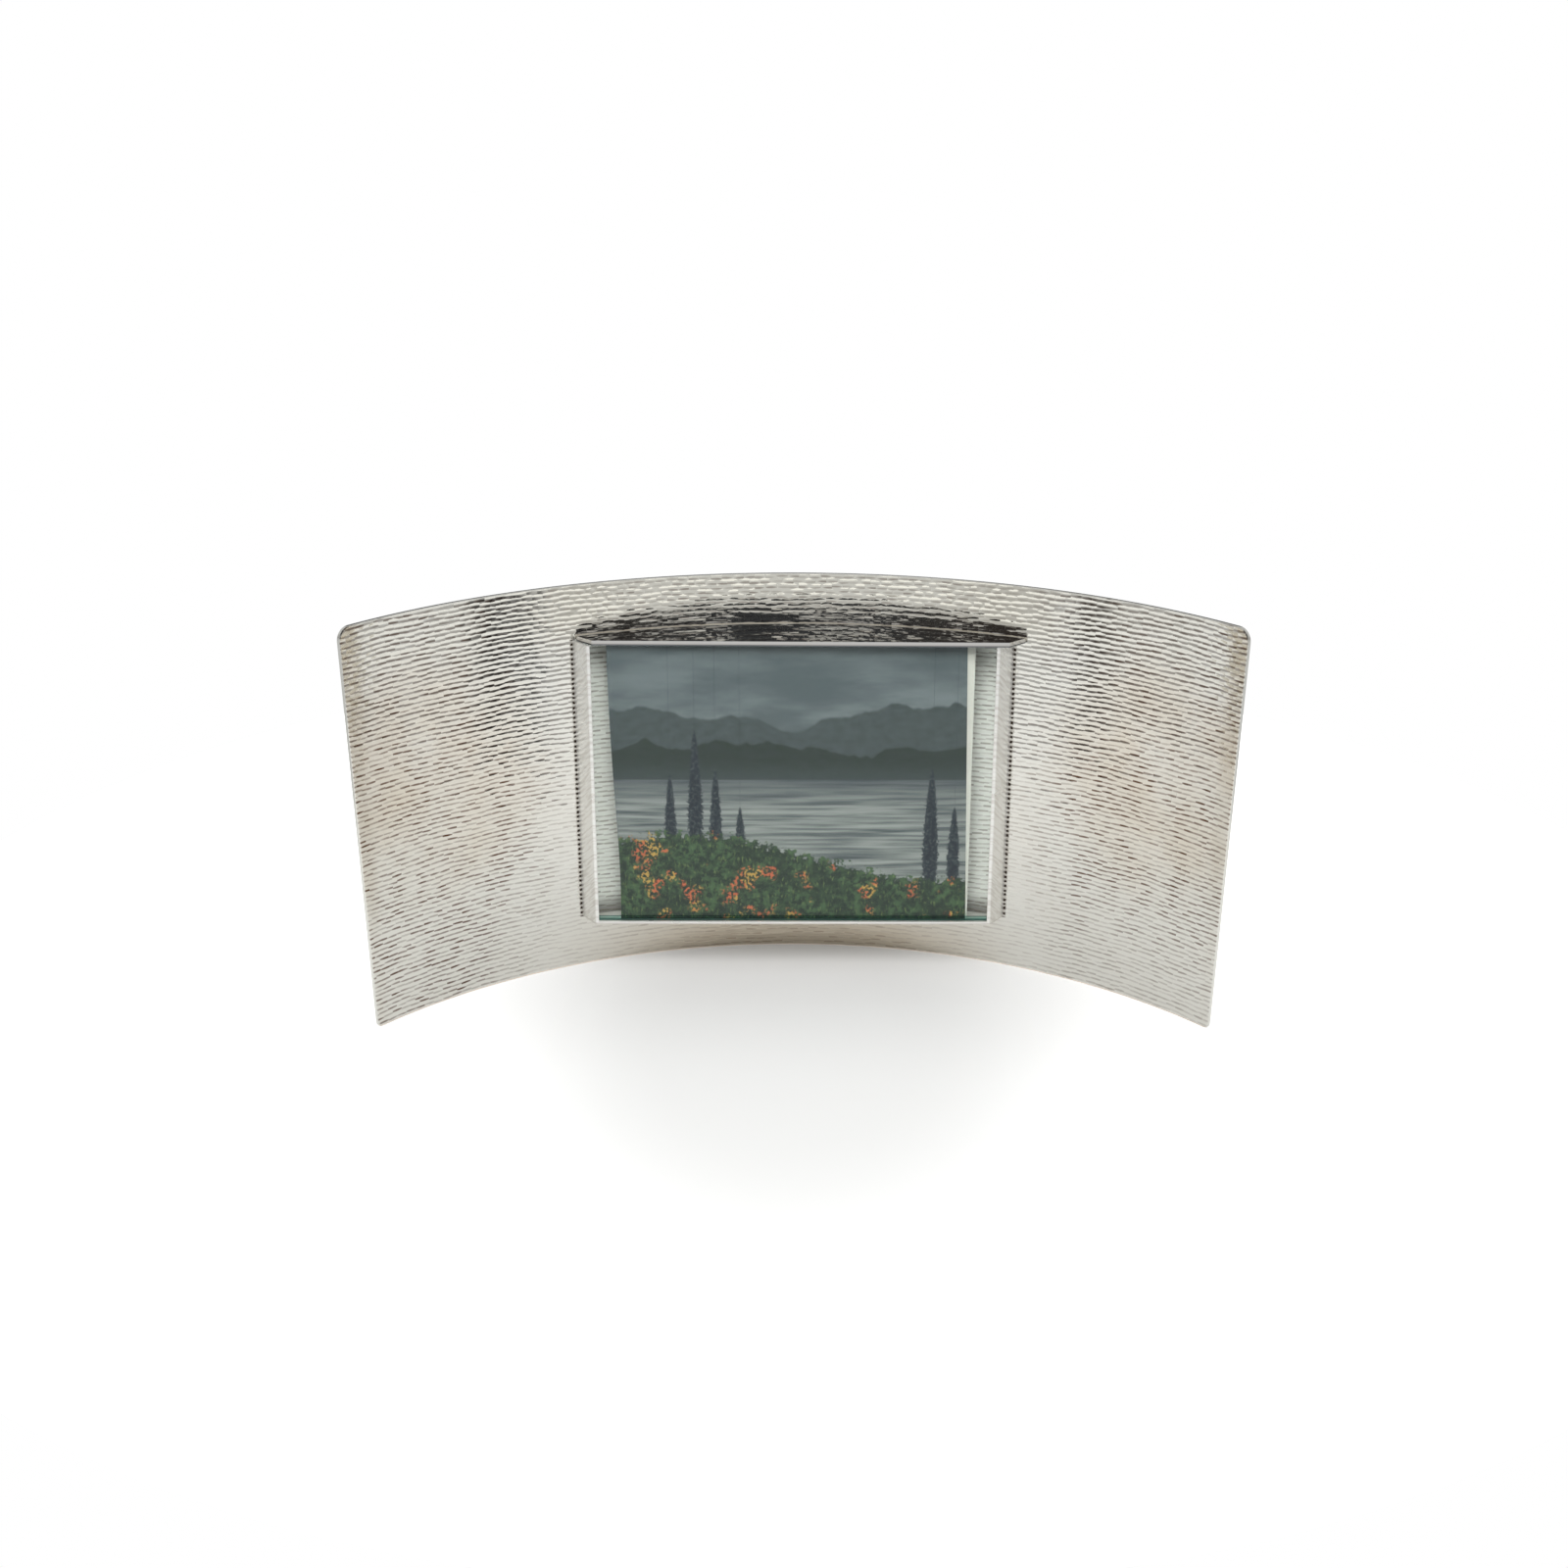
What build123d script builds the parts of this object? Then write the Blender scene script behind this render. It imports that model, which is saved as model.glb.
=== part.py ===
from build123d import *
from math import atan2, cos, degrees, hypot, sin, sqrt
import os

# A free-standing photo frame. One tall sheet of hammered silver, bent to part of a cylinder, stands on
# its lower edge with the hollow side to the viewer. Two angled rails and a shelf are soldered across
# the hollow and hold a flat pane, a print and a backing card. A lens-shaped lid lies loose on top.
# X runs left to right, Y from the viewer to the back, Z up. The origin is under the middle of the box.

# Curved sheet, measured on its hollow front face
panel_width = 366.0  # straight across, corner to corner at the top
panel_sagitta = 90.6  # how far the wings come forward of the middle
panel_height = 181.0
sheet_thickness = 2.0
side_lean = 4.9  # each side edge runs in by this much towards the bottom
top_corner_radius = 6.0
bottom_corner_radius = 2.5
rim_bevel = 0.4

# Rails and shelf soldered across the hollow
front_reach = 30.4  # front of the rails, forward of the middle of the sheet
opening_width = 177.0  # between the two lips
lip_width = 1.5
rail_splay = 6.8  # each rail meets the sheet this much further out than its bend
strip_thickness = 1.0
strip_bend_radius = 0.8  # outside of the bend
shelf_thickness = 1.2
slot_height = 130.7  # shelf to lid
box_rise = 0.75  # middle of shelf, slot and lid, above the middle of the sheet

# Loose lid
lid_thickness = 2.0
lid_front_overhang = 0.8  # past the bends of the rails
lid_tip_overhang = 2.2  # past the feet of the rails, before the tips are rounded
lid_tip_radius = 1.0
lid_edge_bevel = 0.4
lid_clearance = 0.3  # to the curved sheet behind it
lid_slip = 3.5  # the lid has slipped to the right along the curve
tongue_length = 30.0
tongue_thickness = 1.0
tongue_depth = 5.0
tongue_spacing = 100.0

# Pane, print and card standing on the shelf
pane_thickness = 3.0
pane_bevel = 0.3
pane_side_clearance = 0.4
top_clearance = 0.5  # between what stands on the shelf and the lid
leaf_gap = 0.1
print_thickness = 0.3
print_left_gap = 9.8  # lower left corner to the end of the lip
print_right_gap = 9.6
print_skew = 2.9  # the print is trimmed out of square, its top stands this far to the left
print_edge_wave = 0.7  # bow of its hand-cut left edge
card_thickness = 1.2
card_left_gap = 11.1
card_right_gap = 8.9
tongue_clearance = 0.4  # behind the card, wherever the lid has slipped to

cut_overrun = 5.0

# Worked out from the sizes above
bend_radius = ((panel_width / 2) ** 2 + panel_sagitta**2) / (2 * panel_sagitta)
middle_radius = bend_radius + sheet_thickness / 2
wing_angle = atan2(panel_width / 2, bend_radius - panel_sagitta)
foot_angle = wing_angle - side_lean / bend_radius
overall_depth = panel_sagitta + sheet_thickness
bend_axis_y = overall_depth / 2 - sheet_thickness - bend_radius
front_y = bend_radius - front_reach
lip_back_y = front_y + strip_thickness
box_height = shelf_thickness + slot_height + lid_thickness
shelf_underside = (panel_height - box_height) / 2 + box_rise
shelf_height = shelf_underside + shelf_thickness
lid_underside = shelf_height + slot_height
slip_angle = lid_slip / bend_radius

# Plan drawings are made about the axis that the sheet is bent round
plan = Plane(origin=(0, bend_axis_y, 0))
shelf_top_plan = plan.offset(shelf_height)
lid_plan = plan.rotated((0, 0, -degrees(slip_angle))).offset(lid_underside)

os.makedirs("parts", exist_ok=True)


def save(piece, name):
    piece.part.label = name
    export_step(piece.part, f"parts/{name}.step")


def side_cut(hand):
    """Plane of one leaning side edge, facing outwards; hand is 1 for the right and -1 for the left."""
    top = Vector(hand * middle_radius * sin(wing_angle), middle_radius * cos(wing_angle), panel_height)
    foot = Vector(hand * middle_radius * sin(foot_angle), middle_radius * cos(foot_angle), 0)
    mean_angle = (wing_angle + foot_angle) / 2
    radial = Vector(hand * sin(mean_angle), cos(mean_angle), 0)
    outward = (top - foot).cross(radial) * -hand
    return Plane(origin=foot + Vector(0, bend_axis_y, 0), x_dir=radial, z_dir=outward)


# Curved sheet
sweep_angle = degrees(wing_angle + cut_overrun / bend_radius)
with BuildPart() as curved_panel:
    with BuildSketch(plan):
        with BuildLine():
            inner_arc = CenterArc((0, 0), bend_radius, 90 - sweep_angle, 2 * sweep_angle)
            outer_arc = CenterArc((0, 0), bend_radius + sheet_thickness, 90 - sweep_angle, 2 * sweep_angle)
            Line(inner_arc @ 0, outer_arc @ 0)
            Line(inner_arc @ 1, outer_arc @ 1)
        make_face()
    extrude(amount=panel_height)
    split(bisect_by=side_cut(1), keep=Keep.BOTTOM)
    split(bisect_by=side_cut(-1), keep=Keep.BOTTOM)
    corners = curved_panel.edges().sort_by(SortBy.LENGTH)[:4]
    fillet(corners.group_by(Axis.Z)[-1], radius=top_corner_radius)
    corners = curved_panel.edges().filter_by(GeomType.LINE).group_by(Axis.Z)[0]
    fillet(corners, radius=bottom_corner_radius)
    hollow_face = curved_panel.faces().sort_by(SortBy.AREA)[-2]
    chamfer(hollow_face.edges(), length=rim_bevel)
save(curved_panel, "curved_panel")

# Rails: strips soldered to the sheet by one edge, with a narrow lip turned in over the pane
lip_end_x = opening_width / 2
bend_x = lip_end_x + lip_width
foot_x = bend_x + rail_splay
foot_y = sqrt(bend_radius**2 - foot_x**2)
run = Vector(foot_x - bend_x, foot_y - front_y).normalized()
inside_bend_x = bend_x - strip_thickness * (1 - run.X) / run.Y
rail_reach = hypot(foot_x - bend_x, foot_y - front_y) + cut_overrun
beyond_foot = Vector(bend_x, front_y) + run * rail_reach
inside_beyond_foot = Vector(inside_bend_x, lip_back_y) + run * rail_reach


def rail_section(hand):
    """Plan of one rail: lip, rounded bend and the run back to the hollow face of the sheet."""
    with BuildSketch() as section:
        with BuildLine():
            outside = FilletPolyline(
                (hand * lip_end_x, front_y),
                (hand * bend_x, front_y),
                (hand * beyond_foot.X, beyond_foot.Y),
                radius=strip_bend_radius,
            )
            inside = Polyline(
                (hand * lip_end_x, lip_back_y),
                (hand * inside_bend_x, lip_back_y),
                (hand * inside_beyond_foot.X, inside_beyond_foot.Y),
            )
            Line(outside @ 0, inside @ 0)
            Line(outside @ 1, inside @ 1)
        make_face()
        Circle(bend_radius, mode=Mode.INTERSECT)
    return section.sketch_local


for rail_name, hand in {"left_rail": -1, "right_rail": 1}.items():
    with BuildPart() as rail:
        with BuildSketch(plan.offset(shelf_underside)):
            add(rail_section(hand))
        extrude(amount=shelf_thickness + slot_height)
    save(rail, rail_name)

# Shelf: fills the plan between the rails, from their lips back to the sheet
with BuildPart() as base_shelf:
    with BuildSketch(plan.offset(shelf_underside)):
        with BuildLine():
            Polyline(
                (-inside_beyond_foot.X, inside_beyond_foot.Y),
                (-inside_bend_x, lip_back_y),
                (-lip_end_x, lip_back_y),
                (-lip_end_x, front_y),
                (lip_end_x, front_y),
                (lip_end_x, lip_back_y),
                (inside_bend_x, lip_back_y),
                (inside_beyond_foot.X, inside_beyond_foot.Y),
                (0, bend_radius + cut_overrun),
                close=True,
            )
        make_face()
        Circle(bend_radius, mode=Mode.INTERSECT)
    extrude(amount=shelf_thickness)
save(base_shelf, "base_shelf")

# Lid: a lens-shaped plate that lies on the rails, its back edge clear of the curved sheet
lid_back_radius = bend_radius - lid_clearance
tip_x = foot_x + lid_tip_overhang
lid_front_x = bend_x + lid_front_overhang
tip_y = sqrt(lid_back_radius**2 - tip_x**2)
with BuildPart() as top_lid:
    with BuildSketch(lid_plan) as lid_outline:
        with BuildLine():
            Polyline(
                (-lid_front_x, front_y),
                (lid_front_x, front_y),
                (tip_x, tip_y),
                (tip_x, bend_radius),
                (-tip_x, bend_radius),
                (-tip_x, tip_y),
                close=True,
            )
        make_face()
        Circle(lid_back_radius, mode=Mode.INTERSECT)
        tips = lid_outline.vertices().sort_by(Axis.X)
        fillet([tips[0], tips[-1]], radius=lid_tip_radius)
    extrude(amount=lid_thickness)
    top_rim = top_lid.edges().group_by(Axis.Z)[-1]
    chamfer(top_rim.filter_by(GeomType.LINE), length=lid_edge_bevel)
save(top_lid, "top_lid")

# Tongues: two short strips under the lid that drop in behind the card and keep the lid in place
pane_front_y = lip_back_y + leaf_gap
print_front_y = pane_front_y + pane_thickness + leaf_gap
card_front_y = print_front_y + print_thickness + leaf_gap
tongue_swing = (tongue_spacing + tongue_length) / 2 * sin(slip_angle)
tongue_front_y = card_front_y + card_thickness + tongue_clearance + tongue_swing
with BuildPart() as lid_tongues:
    with BuildSketch(lid_plan):
        with Locations((0, tongue_front_y + tongue_thickness / 2)):
            with GridLocations(tongue_spacing, 0, 2, 1):
                Rectangle(tongue_length, tongue_thickness)
    extrude(amount=-tongue_depth)
save(lid_tongues, "lid_tongues")

# Pane: flat glass standing on the shelf behind the lips
standing_height = slot_height - top_clearance
pane_half_width = inside_bend_x + (leaf_gap / run.Y) * run.X - pane_side_clearance
with BuildPart() as glass_pane:
    with BuildSketch(shelf_top_plan):
        with Locations((0, pane_front_y + pane_thickness / 2)):
            Rectangle(2 * pane_half_width, pane_thickness)
    extrude(amount=standing_height)
    chamfer(glass_pane.faces().sort_by(Axis.Y)[0].edges(), length=pane_bevel)
save(glass_pane, "glass_pane")


def upright(local_y):
    """Upright drawing plane facing the viewer, at this distance behind the bend axis."""
    return Plane(origin=(0, bend_axis_y + local_y, shelf_height), x_dir=(1, 0, 0), z_dir=(0, -1, 0))


# Print: a sheet of photographic paper, trimmed a little out of square, with a wavy left edge
print_left = print_left_gap - lip_end_x
print_right = lip_end_x - print_right_gap
with BuildPart() as photo_print:
    with BuildSketch(upright(print_front_y + print_thickness)):
        with BuildLine():
            left_edge = Spline(
                (print_left, 0),
                (print_left - print_skew / 4 + print_edge_wave, standing_height / 4),
                (print_left - print_skew / 2, standing_height / 2),
                (print_left - print_skew * 3 / 4 - print_edge_wave / 2, standing_height * 3 / 4),
                (print_left - print_skew, standing_height),
            )
            Polyline(
                left_edge @ 1,
                (print_right - print_skew, standing_height),
                (print_right, 0),
                left_edge @ 0,
            )
        make_face()
    extrude(amount=print_thickness)
save(photo_print, "photo_print")

# Card: backs the print and shows as a pale strip along its right edge
card_left = card_left_gap - lip_end_x
card_right = lip_end_x - card_right_gap
with BuildPart() as backing_card:
    with BuildSketch(upright(card_front_y + card_thickness)):
        with Locations(((card_left + card_right) / 2, standing_height / 2)):
            Rectangle(card_right - card_left, standing_height)
    extrude(amount=card_thickness)
save(backing_card, "backing_card")
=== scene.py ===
import math
import bmesh
import bpy
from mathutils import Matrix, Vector


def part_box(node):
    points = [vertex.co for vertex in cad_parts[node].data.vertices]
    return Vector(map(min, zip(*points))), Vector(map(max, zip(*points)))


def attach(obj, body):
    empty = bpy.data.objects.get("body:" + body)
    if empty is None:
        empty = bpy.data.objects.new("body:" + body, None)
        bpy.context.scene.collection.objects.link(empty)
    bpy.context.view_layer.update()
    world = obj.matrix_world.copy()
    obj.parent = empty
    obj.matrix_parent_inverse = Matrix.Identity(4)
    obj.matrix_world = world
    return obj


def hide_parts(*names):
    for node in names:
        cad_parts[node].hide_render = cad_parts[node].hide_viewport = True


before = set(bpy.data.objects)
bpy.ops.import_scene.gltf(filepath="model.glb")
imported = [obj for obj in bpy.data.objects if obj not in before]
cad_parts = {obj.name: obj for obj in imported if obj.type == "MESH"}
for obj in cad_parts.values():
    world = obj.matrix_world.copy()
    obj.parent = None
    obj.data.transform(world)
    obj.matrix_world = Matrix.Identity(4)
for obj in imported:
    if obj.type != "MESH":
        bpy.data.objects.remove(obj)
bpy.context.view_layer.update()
print("frame loaded")


# Small helpers for node trees. A value is a number or another node's output.

def plug(tree, value, socket):
    # a number goes on the socket, an output is linked to it
    if isinstance(value, bpy.types.NodeSocket):
        tree.links.new(value, socket)
    else:
        socket.default_value = value


def calc(tree, operation, *values):
    node = tree.nodes.new("ShaderNodeMath")
    node.operation = operation
    for place, value in enumerate(values):
        plug(tree, value, node.inputs[place])
    return node.outputs[0]


def times(tree, first, *others):
    # multiplies from left to right
    for other in others:
        first = calc(tree, "MULTIPLY", first, other)
    return first


def addNode(tree, kind, settings=None, **inputs):
    # settings are the node's own fields, inputs its sockets by name with spaces left out
    node = tree.nodes.new(kind)
    for field, value in (settings or {}).items():
        setattr(node, field, value)
    for name, value in inputs.items():
        socket = next(s for s in node.inputs if s.enabled and s.name.replace(" ", "") == name)
        plug(tree, value, socket)
    return node


def linearRange(tree, value, low, high, outLow=0.0, outHigh=1.0, interpolation="LINEAR"):
    node = addNode(tree, "ShaderNodeMapRange", {"interpolation_type": interpolation}, Value=value,
                   FromMin=low, FromMax=high, ToMin=outLow, ToMax=outHigh)
    return node.outputs["Result"]


def smoothRange(tree, value, low, high, outLow=0.0, outHigh=1.0):
    return linearRange(tree, value, low, high, outLow, outHigh, "SMOOTHSTEP")


def mixColour(tree, factor, first, second):
    node = addNode(tree, "ShaderNodeMix", {"data_type": "RGBA"})
    for socket, value in ((node.inputs[0], factor), (node.inputs[6], first), (node.inputs[7], second)):
        plug(tree, value, socket)
    return node.outputs[2]


def opaque(colour):
    return (*colour, 1)


def colourRamp(tree, value, stops):
    node = addNode(tree, "ShaderNodeValToRGB", None, Fac=value)
    band = node.color_ramp
    band.elements.remove(band.elements[1])
    band.elements[0].position, band.elements[0].color = stops[0][0], opaque(stops[0][1])
    for place, colour in stops[1:]:
        band.elements.new(place).color = opaque(colour)
    return node.outputs["Color"]


def noise(tree, vector, scale, detail=2.0, roughness=0.5):
    node = addNode(tree, "ShaderNodeTexNoise", None, Vector=vector, Scale=scale, Detail=detail,
                   Roughness=roughness)
    return node.outputs[0]


def combine(tree, x, y, z=0.0):
    return addNode(tree, "ShaderNodeCombineXYZ", None, X=x, Y=y, Z=z).outputs[0]


def split(tree, vector):
    return addNode(tree, "ShaderNodeSeparateXYZ", None, Vector=vector).outputs


def objectPlace(tree):
    return addNode(tree, "ShaderNodeTexCoord").outputs["Object"]


def addBump(tree, shader, height, strength=1.0, distance=1.0):
    bump = addNode(tree, "ShaderNodeBump", None, Height=height, Strength=strength, Distance=distance)
    plug(tree, bump.outputs[0], shader.inputs["Normal"])


def newGroup(kind, name, inputs, outputs):
    # inputs are (name, socket type, default), outputs (name, socket type)
    tree = bpy.data.node_groups.new(name, kind)
    for label, socketType, default in inputs:
        socket = tree.interface.new_socket(label, in_out="INPUT", socket_type=socketType)
        if default is not None:
            socket.default_value = default
    for label, socketType in outputs:
        tree.interface.new_socket(label, in_out="OUTPUT", socket_type=socketType)
    return tree, tree.nodes.new("NodeGroupInput").outputs, tree.nodes.new("NodeGroupOutput").inputs


def newMaterial(name):
    material = bpy.data.materials.new(name)
    material.use_nodes = True
    return material, material.node_tree, material.node_tree.nodes["Principled BSDF"]


# The curved sheet, as it is bent. Its height and its place come from the frame.
sheet = {
    "width": 0.366,
    "sagitta": 0.0906,
    "thickness": 0.002,
    "lean": 0.0049,
    "topCorner": 0.006,
    "bottomCorner": 0.0025,
    "bevel": 0.0004,
    "trim": 0.00006,
    "columns": 252,
    "rowStep": 0.00064,
    "topSteps": 14,
    "bottomSteps": 6,
    "backRows": 6,
    "sharpAngle": 0.5,
}
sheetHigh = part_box("curved_panel")[1]
bendRadius = ((sheet["width"] / 2) ** 2 + sheet["sagitta"] ** 2) / (2 * sheet["sagitta"])
bendAxisY = sheetHigh[1] - sheet["thickness"] - bendRadius
sheetHeight = sheetHigh[2]
halfArc = bendRadius * math.atan2(sheet["width"] / 2, bendRadius - sheet["sagitta"]) - sheet["trim"]

# Hammer marks: short level strokes in staggered rows
strokes = {
    "spacing": 0.0049,
    "pitch": 0.00225,
    "reach": 0.82,
    "jitter": 0.6,
    "lift": 0.55,  # how far a mark strays up or down, as a share of the jitter
    "waver": 0.0032,
    "waverScale": 28.0,
    "depth": 0.00008,
    "ridge": 1.6,  # the height of the metal between marks, where 1 is a mark's own rim
    "unevenDepth": 0.5,
    "blend": 0.2,
    "forceScale": 75.0,
    "force": (0.5, 1.2),
    "overBoxUp": (0.162, 0.171),  # the marks over the box are shorter
    "overBoxAside": (0.09, 0.12),
    "overBoxLoss": 0.3,
    "shadeDrop": 0.55,
    "shadeSharpness": 1.9,
    "shadeEnds": 0.62,
    "faintestShade": 0.35,
}


def buildStrokeGroup(kind, name):
    # Hollow is 0 in the middle of a mark and 1 at its rim, Shade is 1 along its lower side
    tree, given, result = newGroup(kind, name, [
        ("Along", "NodeSocketFloat", 0.0), ("Up", "NodeSocketFloat", 0.0),
        ("Spacing", "NodeSocketFloat", strokes["spacing"]), ("Pitch", "NodeSocketFloat", strokes["pitch"]),
        ("Reach", "NodeSocketFloat", strokes["reach"]), ("Jitter", "NodeSocketFloat", strokes["jitter"]),
        ("Waver", "NodeSocketFloat", strokes["waver"]),
    ], [("Hollow", "NodeSocketFloat"), ("Shade", "NodeSocketFloat")])
    drift = noise(tree, combine(tree, given["Along"], given["Up"]), strokes["waverScale"])
    up = calc(tree, "MULTIPLY_ADD", calc(tree, "SUBTRACT", drift, 0.5), given["Waver"], given["Up"])
    rowPlace = calc(tree, "DIVIDE", up, given["Pitch"])
    nearestRow = calc(tree, "ROUND", rowPlace)
    columnPlace = calc(tree, "DIVIDE", given["Along"], given["Spacing"])
    aside = calc(tree, "ABSOLUTE", given["Along"])
    overBox = times(tree, smoothRange(tree, given["Up"], *strokes["overBoxUp"]),
                    smoothRange(tree, aside, *strokes["overBoxAside"], 1.0, 0.0))
    shorter = calc(tree, "MULTIPLY_ADD", overBox, -strokes["overBoxLoss"], 1.0)
    reach = times(tree, given["Reach"], shorter)
    lift = times(tree, given["Jitter"], strokes["lift"])
    nearest = shade = None
    for step in (-1, 0, 1):
        row = calc(tree, "ADD", nearestRow, step)
        shifted = calc(tree, "MULTIPLY_ADD", row, -0.5, columnPlace)  # each row is staggered by half a mark
        column = calc(tree, "ROUND", shifted)
        chance = addNode(tree, "ShaderNodeTexWhiteNoise", {"noise_dimensions": "2D"},
                         Vector=combine(tree, column, row))
        chances = split(tree, chance.outputs["Color"])
        across = calc(tree, "SUBTRACT", shifted, column)
        stray = calc(tree, "SUBTRACT", chances[0], 0.5)
        across = calc(tree, "MULTIPLY_ADD", stray, given["Jitter"], across)
        across = calc(tree, "DIVIDE", across, reach)
        rise = calc(tree, "SUBTRACT", rowPlace, row)
        stray = calc(tree, "SUBTRACT", chances[1], 0.5)
        rise = times(tree, calc(tree, "MULTIPLY_ADD", stray, lift, rise), 2.0)
        span = calc(tree, "ADD", times(tree, across, across), times(tree, rise, rise))
        span = calc(tree, "MULTIPLY_ADD", chances[2], strokes["unevenDepth"], span)
        lower = times(tree, calc(tree, "ADD", rise, strokes["shadeDrop"]), strokes["shadeSharpness"])
        rim = calc(tree, "MULTIPLY_ADD", lower, lower, times(tree, across, across, strokes["shadeEnds"]))
        rim = times(tree, smoothRange(tree, rim, 0.08, 1.0, 1.0, 0.0),
                    linearRange(tree, chances[2], 0.0, 1.0, 1.0, strokes["faintestShade"]))
        if nearest is None:
            nearest, shade = span, rim
            continue
        closer = calc(tree, "LESS_THAN", span, nearest)
        kept = times(tree, calc(tree, "SUBTRACT", 1.0, closer), shade)
        shade = calc(tree, "MULTIPLY_ADD", closer, rim, kept)
        nearest = calc(tree, "SMOOTH_MIN", span, nearest, strokes["blend"])
    plug(tree, nearest, result["Hollow"])
    plug(tree, shade, result["Shade"])
    return tree


def halfLength(up):
    # half the sheet's length at this height, with the lean of its ends and the rounded corners
    length = halfArc - sheet["lean"] * (1 - up / sheetHeight)
    for corner, inside in ((sheet["topCorner"], sheetHeight - up), (sheet["bottomCorner"], up)):
        if inside < corner:
            length -= corner - math.sqrt(max(corner ** 2 - (corner - inside) ** 2, 0))
    return length


def sheetRows():
    # heights of the rows of points, closer together round the corners
    top, bottom = sheet["topCorner"], sheet["bottomCorner"]
    topSteps, bottomSteps = sheet["topSteps"], sheet["bottomSteps"]
    rows = [bottom * (1 - math.cos(math.pi / 2 * step / bottomSteps)) for step in range(bottomSteps)]
    straight = sheetHeight - top - bottom
    count = round(straight / sheet["rowStep"])
    rows += [bottom + straight * step / count for step in range(count)]
    rows += [sheetHeight - top + top * math.sin(math.pi / 2 * step / topSteps)
             for step in range(topSteps + 1)]
    return rows


def buildFlatSheet():
    # the sheet before it is bent: x along it, y through it from the front, z up
    mesh = bmesh.new()
    uv = mesh.loops.layers.uv.new("flatSheet")
    hammered = mesh.verts.layers.float.new("hammered")
    rows, columns, bevel = sheetRows(), sheet["columns"], sheet["bevel"]

    def pointAt(row, column, depth, inset):
        along = halfLength(rows[row]) * (2 * column / columns - 1)
        along *= 1 - inset / halfArc
        middle = sheetHeight / 2
        up = (rows[row] - middle) * (1 - 2 * inset / sheetHeight) + middle
        return mesh.verts.new((along, depth, up))

    last = len(rows) - 1
    front = [[pointAt(row, column, 0, bevel) for column in range(columns + 1)]
             for row in range(last + 1)]
    for line in front:
        for vert in line:
            vert[hammered] = 1
    for row in range(last):
        for column in range(columns):
            mesh.faces.new((front[row][column], front[row][column + 1], front[row + 1][column + 1],
                            front[row + 1][column]))

    # the rim, in three rings from the front to the back
    around = [(0, column) for column in range(columns + 1)]
    around += [(row, columns) for row in range(1, last + 1)]
    around += [(last, column) for column in range(columns - 1, -1, -1)]
    around += [(row, 0) for row in range(last - 1, 0, -1)]
    rings = [{place: front[place[0]][place[1]] for place in around}]
    for depth, inset in ((bevel, 0), (sheet["thickness"] - bevel, 0), (sheet["thickness"], bevel)):
        rings.append({place: pointAt(*place, depth, inset) for place in around})
    for outer, inner in zip(rings[1:], rings):
        for place, after in zip(around, around[1:] + around[:1]):
            mesh.faces.new((inner[place], outer[place], outer[after], inner[after]))

    # the back needs few rows, so its end strips run down all the points of the ends
    back = rings[-1]
    rounding = 1e-9
    cornerRow = next(row for row, up in enumerate(rows) if up >= sheet["bottomCorner"])
    upperRow = next(row for row, up in enumerate(rows)
                    if up >= sheetHeight - sheet["topCorner"] - rounding)
    coarse = [0] + [cornerRow + round((upperRow - cornerRow) * step / sheet["backRows"])
                    for step in range(sheet["backRows"] + 1)] + [last]
    grid = {(row, column): back.get((row, column)) or pointAt(row, column, sheet["thickness"], bevel)
            for row in coarse for column in range(1, columns)}
    for low, high in zip(coarse, coarse[1:]):
        for column in range(1, columns - 1):
            mesh.faces.new((grid[low, column], grid[high, column], grid[high, column + 1],
                            grid[low, column + 1]))
        ends = [back[row, 0] for row in range(low, high + 1)]
        mesh.faces.new(ends + [grid[high, 1], grid[low, 1]])
        ends = [back[row, columns] for row in range(high, low - 1, -1)]
        mesh.faces.new(ends + [grid[low, columns - 1], grid[high, columns - 1]])
    mesh.normal_update()
    for edge in mesh.edges:
        edge.smooth = edge.calc_face_angle(0) < sheet["sharpAngle"]
    for face in mesh.faces:
        face.smooth = True
        for loop in face.loops:
            loop[uv].uv = (loop.vert.co.x, loop.vert.co.z)
    data = bpy.data.meshes.new("flatSheet")
    mesh.to_mesh(data)
    mesh.free()
    return data


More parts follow.
